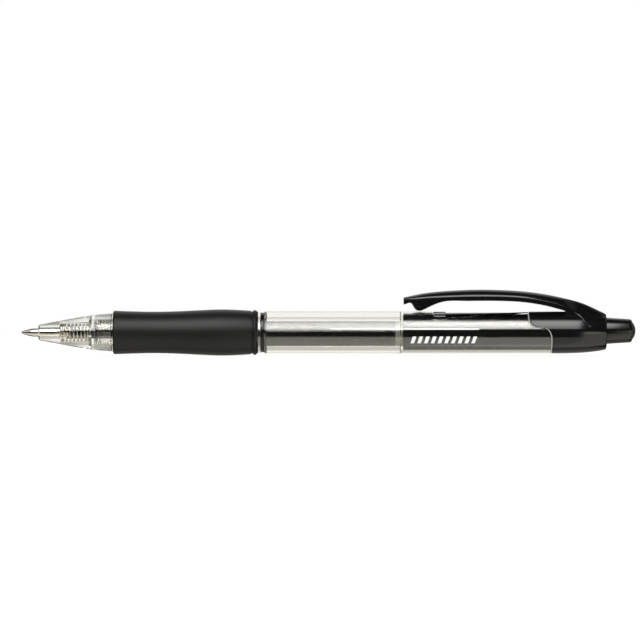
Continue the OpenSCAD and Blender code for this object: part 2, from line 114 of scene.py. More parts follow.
def refine(points, steps=3, closed=False, sharp=SHARP):
    """A finer line through the points: rounded where it turns little, true at its corners."""
    p = [Vector((a[0], a[1])) for a in points]
    n = len(p)
    count = n if closed else n - 1

    def heading(i, from_segment):
        """Direction of travel at point i, for the segment that starts at from_segment."""
        if not closed and i in (0, n - 1):
            return (p[(from_segment + 1) % n] - p[from_segment % n]).normalized()
        before = p[i % n] - p[(i - 1) % n]
        after = p[(i + 1) % n] - p[i % n]
        own = after if from_segment % n == i % n else before
        if before.length < 1e-9 or after.length < 1e-9:
            return own.normalized() if own.length > 0 else Vector((1, 0))
        if before.angle(after) > sharp:
            return own.normalized()
        if before.length > 3 * after.length:
            return before.normalized()
        if after.length > 3 * before.length:
            return after.normalized()
        return (before.normalized() + after.normalized()).normalized()

    out = []
    for i in range(count):
        a, b = p[i], p[(i + 1) % n]
        length = (b - a).length
        ta = heading(i, i) * length
        tb = heading((i + 1) % n if closed else i + 1, i) * length
        for k in range(steps):
            out.append(hermite(k / steps, a, ta, b, tb))
    if not closed:
        out.append(p[-1])
    return [(q.x, q.y) for q in out]


def rounded(points, radius, closed=False):
    """The line with each corner replaced by a small arc."""
    p = [Vector((a[0], a[1])) for a in points]
    n = len(p)
    out = []
    for i, q in enumerate(p):
        if not closed and i in (0, n - 1):
            out.append((q.x, q.y))
            continue
        before = p[i - 1] - q
        after = p[(i + 1) % n] - q
        turn = math.pi - before.angle(after)
        if turn < SHARP or q.y < 1e-6:
            out.append((q.x, q.y))
            continue
        cut = min(radius, before.length * 0.45, after.length * 0.45)
        start = q + before.normalized() * cut
        end = q + after.normalized() * cut
        for k in range(5):
            t = k / 4
            r = start * (1 - t)**2 + q * 2 * t * (1 - t) + end * t**2
            out.append((r.x, r.y))
    return out


def outline(node):
    """The outline of a turned CAD node, as (distance along X, radius) points."""
    mesh = frame["nodes"][node].data
    near = 0.004 * MM       # points of one ring differ by less than this
    points, owner = [], []
    for v in mesh.vertices:
        q = (v.co.x, math.hypot(v.co.y, v.co.z - AXIS_Z))
        for i, known in enumerate(points):
            if abs(known[0] - q[0]) < near and abs(known[1] - q[1]) < near:
                owner.append(i)
                break
        else:
            owner.append(len(points))
            points.append(q)
    links = {i: set() for i in range(len(points))}
    for e in mesh.edges:
        a, b = owner[e.vertices[0]], owner[e.vertices[1]]
        if a != b:
            links[a].add(b)
            links[b].add(a)
    ends = [i for i in links if len(links[i]) == 1]
    at = min(ends or links, key=lambda i: points[i])
    walk = [at]
    while True:
        onward = [i for i in links[at] if i not in walk]
        if not onward:
            break
        at = onward[0]
        walk.append(at)
    line = [points[i] for i in walk]
    if ends:
        line = [(line[0][0], 0)] + line + [(line[-1][0], 0)]
    return line, not ends


# ---------------------------------------------------------------- meshes

def finish_mesh(name, verts, faces, sharp):
    """An object from points and faces: doubled points merged, smooth but for its sharp edges."""
    mesh = bpy.data.meshes.new(name)
    mesh.from_pydata([tuple(v) for v in verts], [], faces)
    bm = bmesh.new()
    bm.from_mesh(mesh)
    bmesh.ops.remove_doubles(bm, verts=bm.verts, dist=1e-7)
    bmesh.ops.dissolve_degenerate(bm, edges=bm.edges, dist=1e-8)
    bmesh.ops.recalc_face_normals(bm, faces=bm.faces)
    bm.to_mesh(mesh)
    bm.free()
    mesh.shade_smooth()
    mesh.set_sharp_from_angle(angle=sharp)
    obj = bpy.data.objects.new(name, mesh)
    bpy.context.scene.collection.objects.link(obj)
    return obj


def grid(name, rows, closed_rows=False, around=True, sharp=SHARP):
    """A mesh from rows of points, each row joined to the next."""
    n = len(rows[0])
    verts = [v for row in rows for v in row]
    faces = []
    last = len(rows) if closed_rows else len(rows) - 1
    for i in range(last):
        j = (i + 1) % len(rows)
        for k in range(n if around else n - 1):
            m = (k + 1) % n
            faces.append((i * n + k, j * n + k, j * n + m, i * n + m))
    return finish_mesh(name, verts, faces, sharp)


def capped(rows):
    """The rows with a point at the middle of each end, which closes the mesh there."""
    front, back = ([sum(row, Vector()) / len(row)] * len(row) for row in (rows[0], rows[-1]))
    return [front] + rows + [back]


def lifted(rows):
    """Rows of points measured from the pen's axis, moved up to it."""
    return [[Vector((q.x, q.y, q.z + AXIS_Z)) for q in row] for row in rows]


def spin(name, line, closed, warp=None):
    """The line turned round the pen's axis. warp may move a point that has been placed."""
    rows = []
    for x, r in line:
        row = []
        for k in range(AROUND):
            a = 2 * math.pi * k / AROUND
            v = Vector((x, r * math.sin(a), AXIS_Z + r * math.cos(a)))
            row.append(warp(v) if warp else v)
        rows.append(row)
    return grid(name, rows, closed_rows=closed)


def spun_copy(name, node, edge=0.08 * MM, steps=3):
    """A finely turned copy of a turned CAD node, with its edges softened."""
    line, closed = outline(node)
    return spin(name, refine(rounded(line, edge, closed), steps, closed), closed)


def join(objects, name):
    """One object from several closed meshes."""
    bm = bmesh.new()
    for o in objects:
        bm.from_mesh(o.data)
        bpy.data.objects.remove(o)
    mesh = bpy.data.meshes.new(name)
    bm.to_mesh(mesh)
    bm.free()
    obj = bpy.data.objects.new(name, mesh)
    bpy.context.scene.collection.objects.link(obj)
    return obj


def parting_x(z, shift=0.0):
    """Where the barrel ends and the cap begins, at height z above the axis."""
    def cubic(a, b, c, d):
        for k in range(13):
            t = k / 12
            s = 1 - t
            yield tuple(s**3 * a[i] + 3 * s * s * t * b[i] + 3 * s * t * t * c[i] + t**3 * d[i]
                        for i in (0, 1))
    curve = [(0.0, 12.0)]
    curve += cubic((0.15, 3.6), (0.2, 1.7), (1.4, 1.25), (3.2, 1.2))
    curve += cubic((3.2, 1.2), (4.9, 1.15), (5.6, -0.1), (5.65, -1.9))
    curve.append((5.5, -12.0))
    curve = sorted(curve, key=lambda c: c[1])
    return CAP_X + shift + MM * float(np.interp(z / MM, [c[1] for c in curve], [c[0] for c in curve]))


# ---------------------------------------------------------------- node helpers

def nodes_of(tree_owner):
    """The empty node tree of a material or world."""
    tree_owner.use_nodes = True
    tree = tree_owner.node_tree
    tree.nodes.clear()
    return tree


def add(tree, kind, **inputs):
    """A node with its inputs set or linked."""
    node = tree.nodes.new(kind)
    for key, value in inputs.items():
        socket = node.inputs[key.replace("_", " ")]
        if isinstance(value, bpy.types.NodeSocket):
            tree.links.new(value, socket)
        else:
            socket.default_value = value
    return node


def math_node(tree, operation, a, b=0.0):
    """A number worked out from one or two others."""
    node = tree.nodes.new("ShaderNodeMath")
    node.operation = operation
    for socket, value in zip(node.inputs, (a, b)):
        if isinstance(value, bpy.types.NodeSocket):
            tree.links.new(value, socket)
        else:
            socket.default_value = value
    return node.outputs[0]


def ramp(tree, value, low, high, out_low=0.0, out_high=1.0, smooth=True):
    """A value that goes from out_low to out_high while another goes from low to high."""
    node = tree.nodes.new("ShaderNodeMapRange")
    node.interpolation_type = "SMOOTHSTEP" if smooth else "LINEAR"
    tree.links.new(value, node.inputs["Value"])
    limits = {"From Min": low, "From Max": high, "To Min": out_low, "To Max": out_high}
    for name, number in limits.items():
        node.inputs[name].default_value = number
    return node.outputs["Result"]


def noise(tree, scale, detail, stretch):
    """Noise in the object's own space."""
    coords = tree.nodes.new("ShaderNodeTexCoord").outputs["Object"]
    if stretch != (1, 1, 1):
        coords = add(tree, "ShaderNodeMapping", Vector=coords, Scale=stretch).outputs[0]
    return add(tree, "ShaderNodeTexNoise", Vector=coords, Scale=scale, Detail=detail).outputs[0]


def mix_colour(tree, factor, dark, light):
    """A colour between two, by a factor."""
    node = tree.nodes.new("ShaderNodeMix")
    node.data_type = "RGBA"
    tree.links.new(factor, node.inputs[0])
    node.inputs[6].default_value = (*dark, 1)
    node.inputs[7].default_value = (*light, 1)
    return node.outputs[2]


def surface(name, dark, light, rough, scale, bump=0.0, bump_depth=0.01 * MM, stretch=(1, 1, 1),
            detail=3.0, **sockets):
    """A material whose colour, roughness and relief vary with a fine grain."""
    material = bpy.data.materials.new(name)
    tree = nodes_of(material)
    grain = noise(tree, scale, detail, stretch)
    colour = mix_colour(tree, grain, dark, light)
    roughness = ramp(tree, grain, 0.25, 0.75, rough[0], rough[1], smooth=False)
    shader = add(tree, "ShaderNodeBsdfPrincipled", Base_Color=colour, Roughness=roughness)
    for key, value in sockets.items():
        shader.inputs[key.replace("_", " ")].default_value = value
    if bump:
        relief = add(tree, "ShaderNodeBump", Strength=bump, Distance=bump_depth, Height=grain)
        tree.links.new(relief.outputs[0], shader.inputs["Normal"])
    out = tree.nodes.new("ShaderNodeOutputMaterial")
    tree.links.new(shader.outputs[0], out.inputs["Surface"])
    return material


# ---------------------------------------------------------------- materials

clear = surface("clear_plastic", (0.965, 0.96, 0.93), (0.975, 0.97, 0.94), (0.0, 0.02), 900,
                bump=0.02, Transmission_Weight=1.0, IOR=1.5)
frosted = surface("moulded_edge", (0.45, 0.44, 0.40), (0.58, 0.57, 0.52), (0.35, 0.5), 1800, bump=0.1)
tube_clear = surface("refill_clear", (0.93, 0.93, 0.92), (0.95, 0.95, 0.94), (0.02, 0.06), 1400,
                     bump=0.05, Transmission_Weight=1.0, IOR=1.5)
holder_clear = surface("holder_plastic", (0.86, 0.85, 0.82), (0.9, 0.89, 0.86), (0.05, 0.12), 1600,
                       bump=0.08, Transmission_Weight=1.0, IOR=1.49)
black = surface("black_plastic", (0.0030, 0.0029, 0.0034), (0.0045, 0.0044, 0.0049), (0.08, 0.14), 1500,
                bump=0.04, IOR=1.41)
sleeve_black = surface("sleeve_black", (0.0030, 0.0030, 0.0032), (0.0045, 0.0045, 0.0046), (0.08, 0.14),
                       1200, bump=0.04, IOR=1.5)
rubber = surface("grip_rubber", (0.004, 0.004, 0.0040), (0.010, 0.010, 0.0098), (0.33, 0.46), 5200,
                 bump=0.5, bump_depth=0.03 * MM, detail=6.0, IOR=1.3)
ink = surface("gel_ink", (0.004, 0.004, 0.0045), (0.007, 0.007, 0.0075), (0.08, 0.16), 800, IOR=1.34)
grease = surface("grease", (0.62, 0.60, 0.52), (0.8, 0.78, 0.7), (0.15, 0.3), 700, Subsurface_Weight=0.3)
white = surface("white_plastic", (0.72, 0.72, 0.70), (0.8, 0.8, 0.78), (0.3, 0.4), 1500, bump=0.05)
steel = surface("point_metal", (0.50, 0.48, 0.44), (0.62, 0.60, 0.55), (0.04, 0.09), 2600,
                bump=0.06, stretch=(6, 1, 1), Metallic=1.0)
chrome = surface("ball_steel", (0.55, 0.55, 0.56), (0.65, 0.65, 0.66), (0.08, 0.14), 3000, Metallic=1.0)
wire = surface("spring_wire", (0.50, 0.48, 0.44), (0.64, 0.62, 0.57), (0.16, 0.3), 2600,
               bump=0.1, Metallic=1.0)
print_white = surface("print_white", (0.80, 0.80, 0.79), (0.86, 0.86, 0.85), (0.35, 0.5), 2600, bump=0.05)


def place(piece, body, slot, material, *nodes):
    """Gives a piece its material and body, and hides the CAD nodes that it stands for. slot is not used."""
    piece.data.materials.clear()
    piece.data.materials.append(material)
    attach(piece, body)
    if nodes:
        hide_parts(*nodes)
    return piece


def carry(node, material):
    """Shows a CAD node with a material."""
    obj = frame["nodes"][node]
    obj.data.materials.clear()
    obj.data.materials.append(material)
    for poly in obj.data.polygons:
        poly.use_smooth = True


# ---------------------------------------------------------------- refill

def sagging(v):
    """The refill lies a little low in the barrel between the holder and the cam."""
    behind_step = v.x - STEP_X
    into = eased(behind_step, -58 * MM, -42 * MM)
    out_of = eased(behind_step, 7 * MM, 14 * MM)
    v.z -= SAG * into * (1 - out_of)
    return v


def stepped(line, closed, every=2 * MM):
    """The line with points added, so that its long stretches can bend."""
    out = []
    for a, b in zip(line, line[1:] + line[:1] if closed else line[1:]):
        count = max(1, int(abs(b[0] - a[0]) / every))
        for k in range(count):
            out.append((a[0] + (b[0] - a[0]) * k / count, a[1] + (b[1] - a[1]) * k / count))
    return out if closed else out + [line[-1]]


def refill_body():
    """The refill's tube, whose bore narrows behind the holder and widens again behind the grease."""
    edge = 0.08 * MM
    return spin("refill_body", stepped([
        (refill_lo.x, INK_R), (refill_lo.x, REFILL_R - edge), (refill_lo.x + edge, REFILL_R),
        (refill_hi.x - edge, REFILL_R), (refill_hi.x, REFILL_R - edge), (refill_hi.x, INK_R),
        (follower_end + 2 * MM, INK_R), (follower_end + 0.5 * MM, TUBE_BORE_R),
        (holder_end + 3 * MM, TUBE_BORE_R), (holder_end + 1 * MM, INK_R),
    ], closed=True), True, warp=sagging)


WET = 0.005 * MM        # the ink wets the plastic round it, so no air shows between them


def ink_column():
    """The ink, from the back of the metal point through the holder's channel to the grease."""
    start, channel_r, column_r = point_hi.x + 0.05 * MM, 0.98 * MM + WET, TUBE_BORE_R + WET
    return spin("ink_column", stepped([
        (start, 0), (start, channel_r), (ink_lo.x - 0.02 * MM, channel_r), (ink_lo.x, INK_R + WET),
        (holder_end + 1 * MM, INK_R + WET), (holder_end + 3 * MM, column_r),
        (ink_hi.x, column_r), (ink_hi.x, 0),
    ], closed=False), False, warp=sagging)


def grease_plug():
    """The grease behind the ink."""
    plug_r = TUBE_BORE_R + WET
    line = [(ink_hi.x, 0), (ink_hi.x, plug_r), (follower_end, plug_r), (follower_end, 0)]
    return spin("grease_plug", line, False, warp=sagging)


place(refill_body(), "refill", "tube_plastic", tube_clear, "refill_tube")
place(spun_copy("point_holder", "tip_holder"), "refill", "holder_plastic", holder_clear, "tip_holder")
place(ink_column(), "refill", "gel", ink, "gel_ink")
place(grease_plug(), "refill", "grease", grease, "ink_follower")


def metal_point():
    """Cone, turned step and shank of the point, round its ink channel."""
    front, back = point_lo.x, point_hi.x
    shank_r, ball_r, channel_r = (point_hi.y - point_lo.y) / 2, 0.35 * MM, 0.5 * MM
    socket_x, socket_r = front + 2.4 * MM, ball_r * 0.8
    line = [
        (front, ball_r * 0.98), (front + 0.25 * MM, ball_r + 0.09 * MM), (front + 2.0 * MM, 0.92 * MM),
        (front + 2.65 * MM, shank_r), (back, shank_r), (back, channel_r), (socket_x, channel_r),
        (socket_x, socket_r), (front, socket_r),
    ]
    return spin("point", rounded(line, 0.04 * MM, True), True)


place(metal_point(), "refill", "point_metal", steel, "metal_point")
carry("writing_ball", chrome)
carry("refill_plug", white)
carry("plunger", white)
carry("cam_rotor", white)


def coil_spring():
    """Round wire wound with closed ends, from the seat to the holder's collar."""
    wire_r = 0.2 * MM
    coil_r = (spring_hi.y - spring_lo.y) / 2 - wire_r
    closed_turns, open_turns = 2, 6
    closed_pitch = 0.416 * MM
    length = spring_hi.x - spring_lo.x - 2 * wire_r
    open_pitch = (length - 2 * closed_turns * closed_pitch) / open_turns
    turns = open_turns + 2 * closed_turns
    a_turn, sides = 36, 12
    rows = []
    for i in range(turns * a_turn + 1):
        t = i / a_turn
        x = (min(t, closed_turns) * closed_pitch
             + max(0, min(t - closed_turns, open_turns)) * open_pitch
             + max(0, t - closed_turns - open_turns) * closed_pitch)
        a = 2 * math.pi * t
        row = []
        for s in range(sides):
            b = -2 * math.pi * s / sides
            r = coil_r + wire_r * math.cos(b)
            row.append(Vector((spring_lo.x + wire_r + x - wire_r * math.sin(b),
                               r * math.cos(a), AXIS_Z + r * math.sin(a))))
        rows.append(row)
    return grid("coil_spring", capped(rows))


spring = coil_spring()
spring.data.materials.append(wire)
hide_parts("return_spring")
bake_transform(spring)

# ---------------------------------------------------------------- front section and grip


def clear_nose():
    """The front section, with a steeper cone in its bore and a bore that widens toward the back."""
    line, _ = outline("front_section")
    wide_r, narrow_r, rear_r = 3.2 * MM, 2.34 * MM, 3.4 * MM
    near = 0.02 * MM
    shortened = 0.3         # of the cone's length
    cone_end = min(x for x, r in line if abs(r - wide_r) < near and x > point_hi.x)
    cone_start = max(x for x, r in line if abs(r - narrow_r) < near)
    reshaped = []
    for x, r in line:
        if cone_start - 0.1 * MM < x < cone_end and r < wide_r:
            x = cone_end - (cone_end - x) * shortened
        if x > cone_end + 1 * MM and abs(r - wide_r) < near:
            r = rear_r
        reshaped.append((x, r))
    return spin("clear_nose", refine(rounded(reshaped, 0.08 * MM, True), 3, True), True)


place(clear_nose(), "barrel", "clear_plastic", clear, "front_section")
grip = spun_copy("grip", "rubber_grip", edge=0.05 * MM, steps=4)
place(grip, "barrel", "grip_rubber", rubber, "rubber_grip")
place(spun_copy("dark_ring", "joint_ring", edge=0.05 * MM), "barrel", "black_ring", black, "joint_ring")

# ---------------------------------------------------------------- barrel and sleeve


def barrel_tube():
    """Clear tube with its neck, its step for the sleeve and its end cut along the parting line."""
    neck_bore_r = 3.37 * MM
    edge = 0.15 * MM
    end = 1.0               # stands for the cut end, which warp brings to the parting line
    gap = 0.06 * MM         # between barrel and cap
    chamfer = 0.22 * MM
    shoulder = 0.2 * MM
    line = [
        (barrel_lo.x, neck_bore_r), (barrel_lo.x, NECK_R - 0.2 * MM), (barrel_lo.x + 0.2 * MM, NECK_R),
        (BARREL_X, NECK_R), (BARREL_X, BARREL_R - edge), (BARREL_X + edge, BARREL_R),
        (STEP_X, BARREL_R), (CAP_X - 0.5 * MM, BARREL_R), (end - chamfer, BARREL_R),
        (end - chamfer * 0.3, BARREL_R - chamfer * 0.25), (end, BARREL_R - chamfer * 0.8),
        (end, SLEEVE_ROOM_R), (CAP_X - 0.5 * MM, SLEEVE_ROOM_R), (STEP_X, SLEEVE_ROOM_R),
        (STEP_X - shoulder, BORE_R), (BARREL_X + 0.6 * MM, BORE_R), (BARREL_X + 0.2 * MM, neck_bore_r),
    ]

    def warp(v):
        if v.x > 0.5:
            v.x = parting_x(v.z - AXIS_Z, v.x - end - gap)
        return v

    return spin("barrel_tube", line, True, warp=warp)


def tongue_plan(grow, end_grow):
    """Half plan of the sleeve's sprung tongue and its latch pad, or of the slot round it."""
    pad_x, neck_x, tip_x = STEP_X + 7.7 * MM, STEP_X + 10.6 * MM, CAP_X - 0.4 * MM
    pad_w, root_w, tip_w = 3.2 * MM + grow, 2.85 * MM + grow, 1.2 * MM + grow
    neck_end = neck_x + grow
    return [(pad_x - grow, pad_w), (neck_end, pad_w), (neck_end, root_w), (tip_x + end_grow, tip_w)]


def plate(name, sections):
    """A closed plate from (x, upper line) sections.

    The upper line is given from the middle out, as (y, z) points measured from the axis.
    """
    low_r = SLEEVE_R - 0.2 * MM
    rows = []
    for x, upper in sections:
        top = [(-y, z) for y, z in reversed(upper[1:])] + list(upper)
        under = [(y, math.sqrt(low_r**2 - y**2)) for y, _ in reversed(top)]
        rows.append([Vector((x, y, z)) for y, z in top + under])
    return grid(name, lifted(capped(rows)), sharp=math.radians(20))


def round_top(r, half):
    """The upper line of a plate bent round the axis at radius r."""
    across = [half * k / 12 for k in range(13)]
    return [(y, math.sqrt(r**2 - y**2)) for y in across]


def pad_top(lower):
    """The upper line of the latch pad: a crowned rib, with a bevelled ledge on each side."""
    rib_w, rib_r = 1.2 * MM, 4.98 * MM
    rib = [(y, math.sqrt(rib_r**2 - y**2)) for y in (rib_w * k / 6 for k in range(6))]
    ledge = [(1.2, 4.84), (1.9, 4.6), (2.01, 4.36), (3.02, 3.96), (3.115, 3.76)]
    return [(y, z - lower) for y, z in rib + [(y * MM, z * MM) for y, z in ledge]]


def barrel_liner():
    """Black tube in the barrel with a sprung tongue, whose raised pad shows in the barrel's slot."""
    front, end = sleeve_lo.x, sleeve_hi.x
    tube = spin("tube", [
        (front, SLEEVE_BORE_R), (front, SLEEVE_R - 0.1 * MM), (front + 0.1 * MM, SLEEVE_R),
        (end, SLEEVE_R), (end, SLEEVE_BORE_R),
    ], True)
    (pad_x, _), (pad_end, _), (_, root_w), (tip_x, tip_w) = tongue_plan(0, 0)
    edge = 0.12 * MM
    tongue_r = BARREL_R - 0.3 * MM
    pad = plate("pad", [(pad_x, pad_top(edge)), (pad_x + edge, pad_top(0)),
                        (pad_end - edge, pad_top(0)), (pad_end, pad_top(edge))])
    tongue = plate("tongue", [(pad_end - edge, round_top(tongue_r, root_w)),
                              (tip_x - edge, round_top(tongue_r, tip_w)),
                              (tip_x, round_top(tongue_r - edge, tip_w))])
    return join([tube, pad, tongue], "barrel_liner")


def cut_slot(barrel):
    """Cuts the slot for the tongue through the top of the barrel."""
    half_plan = tongue_plan(0.12 * MM, 0.72 * MM)
    plan = half_plan + [(x, -y) for x, y in reversed(half_plan)]
    rows = [[Vector((x, y, AXIS_Z + z)) for x, y in plan] for z in (2 * MM, 7 * MM)]
    cutter = grid("cutter", capped(rows))
    modifier = barrel.modifiers.new("slot", "BOOLEAN")
    modifier.operation = "DIFFERENCE"
    modifier.solver = "EXACT"
    modifier.object = cutter
    bpy.context.view_layer.update()
    cut = bpy.data.meshes.new_from_object(barrel.evaluated_get(bpy.context.evaluated_depsgraph_get()))
    barrel.modifiers.clear()
    barrel.data = cut
    bpy.data.objects.remove(cutter)
    cut.shade_smooth()
    cut.set_sharp_from_angle(angle=SHARP)
    round_normals(cut)


def round_normals(mesh):
    """Makes the long round faces of the barrel shade as true cylinders, whatever is cut through them."""
    normals = [Vector(n.vector) for n in mesh.corner_normals]
    for face in mesh.polygons:
        if abs(face.normal.x) > 0.02:
            continue
        points = [mesh.vertices[i].co for i in face.vertices]
        radii = [math.hypot(p.y, p.z - AXIS_Z) for p in points]
        if max(radii) - min(radii) > 0.01 * MM:
            continue
        middle = Vector((0, face.center.y, face.center.z - AXIS_Z)).normalized()
        if abs(face.normal.dot(middle)) < 0.99:
            continue
        way = 1 if face.normal.dot(middle) > 0 else -1
        for corner, p in zip(face.loop_indices, points):
            normals[corner] = Vector((0, p.y, p.z - AXIS_Z)).normalized() * way
    mesh.normals_split_custom_set(normals)


def frost_end(barrel):
    """Leaves the barrel's cut end and its bevel unpolished, as they come from the mould."""
    barrel.data.materials.append(frosted)
    for face in barrel.data.polygons:
        along_cut = parting_x(face.center.z - AXIS_Z, -0.3 * MM)
        if face.center.x > along_cut and abs(face.normal.x) > 0.1:
            face.material_index = 1


def barrel_print():
    """White print on the side of the barrel: a fine line and a row of plain slanted bars."""
    r = BARREL_R + 0.008 * MM

    def patch(corners):
        """A four-sided patch of print, from (x, height) corners in order round it."""
        steps = 6
        rows = []
        for t in (i / steps for i in range(steps + 1)):
            row = []
            for u in (k / steps for k in range(steps + 1)):
                shares = ((1 - t) * (1 - u), (1 - t) * u, t * u, t * (1 - u))
                x, z = (sum(w * c[i] for w, c in zip(shares, corners)) for i in (0, 1))
                row.append(Vector((x, -math.sqrt(r**2 - z**2), z)))
            rows.append(row)
        return grid("patch", lifted(rows), around=False)

    line_lo, line_hi = 0.66 * MM, 1.04 * MM
    line_x, line_end = STEP_X - 16.7 * MM, STEP_X + 18.5 * MM
    patches = [patch([(line_x, line_lo), (line_x, line_hi), (line_end, line_hi), (line_end, line_lo)])]
    low, high, lean, bar, pitch = -2.55 * MM, -0.95 * MM, 0.55 * MM, 0.85 * MM, 1.6 * MM
    for i in range(10):
        x = STEP_X + 2.2 * MM + i * pitch
        patches.append(patch([(x, low), (x + lean, high), (x + lean + bar, high), (x + bar, low)]))
    return join(patches, "barrel_print")


tube = barrel_tube()
place(barrel_liner(), "barrel", "black_plastic", sleeve_black, "inner_sleeve")
place(barrel_print(), "barrel", "white_plastic", print_white)
cut_slot(tube)
place(tube, "barrel", "clear_plastic", clear, "clear_barrel")
frost_end(tube)

# ---------------------------------------------------------------- cap, clip and button


def rings_of(node):
    """The rings that a lofted CAD node was made from, front to back, as lists of (x, y, z)."""
    a_metre = 2e5           # stations that can be told apart in a metre
    stations = {}
    for v in frame["nodes"][node].data.vertices:
        point = Vector((v.co.x, v.co.y, v.co.z - AXIS_Z))
        stations.setdefault(round(point.x * a_metre), []).append(point)
    rings = []
    for key in sorted(stations):
        ring = []
        for q in stations[key]:
            if all((q - known).length > 4e-6 for known in ring):
                ring.append(q)
        middle = (max(q.z for q in ring) + min(q.z for q in ring)) / 2

        def turn(q):
            bottom = abs(q.y) < 2e-6 and q.z < middle
            return -math.pi if bottom else math.atan2(q.y, q.z - middle)

        rings.append(sorted(ring, key=turn))
    return rings


def finer_ring(ring, steps):
    """A ring with more points, true at its corners."""
    fine = refine([(q.y, q.z) for q in ring], steps, closed=True, sharp=math.radians(22))
    return [Vector((ring[0].x, y, z)) for y, z in fine]


def along(rings, steps):
    """More rings between the rings, on smooth curves through their points."""
    out = []
    last = len(rings) - 1
    for i in range(last):
        gap = rings[i + 1][0].x - rings[i][0].x
        before = max(i - 1, 0)
        after = min(i + 2, last)
        for k in range(steps):
            ring = []
            for j in range(len(rings[i])):
                a, b = rings[i][j], rings[i + 1][j]
                leave = (b - rings[before][j]) / (b.x - rings[before][j].x) * gap
                arrive = (rings[after][j] - a) / (rings[after][j].x - a.x) * gap
                ring.append(hermite(k / steps, a, leave, b, arrive))
            out.append(ring)
    out.append(rings[-1])
    return out


def smooth(points, x):
    """A smooth curve through (x, value) points, read at x, as in the CAD source."""
    i = 0
    while i < len(points) - 2 and x > points[i + 1][0]:
        i += 1

    def slope(k):
        return (points[k + 1][1] - points[k][1]) / (points[k + 1][0] - points[k][0])

    def tangent(k):
        if k == 0:
            return slope(0)
        if k == len(points) - 1:
            return slope(k - 1)
        return (slope(k - 1) + slope(k)) / 2

    gap = points[i + 1][0] - points[i][0]
    t = min(1.0, max(0.0, (x - points[i][0]) / gap))
    return hermite(t, points[i][1], gap * tangent(i), points[i + 1][1], gap * tangent(i + 1))


# the clip's crown and its fairing on the cap: (mm behind the barrel's step, mm from the axis)
CROWN_TOP = [(20.8, 10.2), (30.6, 9.65), (37.5, 8.48), (43.5, 6.82), (48.6, 4.5)]
CROWN_EDGE = [(22, 8.8), (29.4, 8.44), (34.7, 7.58), (38.7, 6.42), (41.3, 4.95), (43, 3.5), (44.2, 2.1),
              (46, 0.9), (48.6, 0.1)]
CROWN_HALF = [(9.2, 2.55), (22, 2.85), (38.7, 2.9), (42, 3.05), (43.3, 3.75), (44.6, 4.45), (46.3, 4.38),
              (48.6, 4.02)]
CROWN_POWER = [(38.6, 2.0), (41, 1.35), (44, 1.35), (47.5, 2.0)]    # 2 is round, 1 would be a roof
CAP_RADIUS = [(30.29, 5.0), (39.29, 4.98), (43.29, 4.83), (46.29, 4.52), (48.84, 4.1)]
BEVEL_W, BEVEL_H = 0.10, 0.24       # bevel along the crown's edge, in mm


def crown_z(at, y, inset=0.0):
    """Height of the crown's top surface, in mm, y mm from the pen's middle plane."""
    half = smooth(CROWN_HALF, at) - inset - BEVEL_W
    top = smooth(CROWN_TOP, at) - inset
    drop = top - smooth(CROWN_EDGE, at) + inset
    return top - drop * min(1.6, abs(y) / half)**smooth(CROWN_POWER, at)


def keep_flats_flat(obj):
    """Shades each broad face by its own slope, so only the narrow bevels between them bend the light."""
    modifier = obj.modifiers.new("flats", "WEIGHTED_NORMAL")
    modifier.keep_sharp = True
    modifier.weight = 80


def widen_bevel(ring):
    """Makes the bevel along the crown's edge as wide as BEVEL_W and BEVEL_H; the CAD's is narrower."""
    for a, b in zip(ring, ring[1:] + ring[:1]):
        upper, lower = (a, b) if a.z > b.z else (b, a)
        wide, high = abs(upper.y - lower.y) / MM, (upper.z - lower.z) / MM
        if 0.06 < wide < 0.08 and 0.11 < high < 0.13:
            upper.y -= math.copysign((BEVEL_W - wide) * MM, upper.y)
            lower.z -= (BEVEL_H - high) * MM


def clip_arm():
    """The sprung clip, with the crown, edges and ball of its CAD loft drawn finely."""
    rings = rings_of("pocket_clip")
    for ring in rings:
        widen_bevel(ring)
    fine = [finer_ring(ring, 3) for ring in rings]
    rows = fine[:2] + along(fine[2:], 3)
    for row in rows:
        at = (row[0].x - STEP_X) / MM
        ease = eased(at, 30.6, 37.6)
        for q in row:
            if ease > 0 and q.z / MM > smooth(CROWN_EDGE, at) - 0.001:
                q.z += (crown_z(at, q.y / MM) * MM - q.z) * ease
    root_x = SEAM_X - 0.004 * MM
    onward = (root_x - rows[-1][0].x) / (rows[-1][0].x - rows[-2][0].x)
    rows.append([b + (b - a) * onward for a, b in zip(rows[-2], rows[-1])])
    obj = grid("clip_arm", lifted(capped(rows)))
    keep_flats_flat(obj)
    return obj


place(clip_arm(), "clip", "black_plastic", black, "pocket_clip")


def crown_reach(at, inset, c, s):
    """Distance from the axis to the crown's top surface in the direction (c, s), in mm."""
    if s <= 0:
        return 0
    low, high = 0.0, 12.0
    for _ in range(40):
        mid = (low + high) / 2
        above = mid * s > crown_z(at, mid * c, inset)
        low, high = (low, mid) if above else (mid, high)
    return low


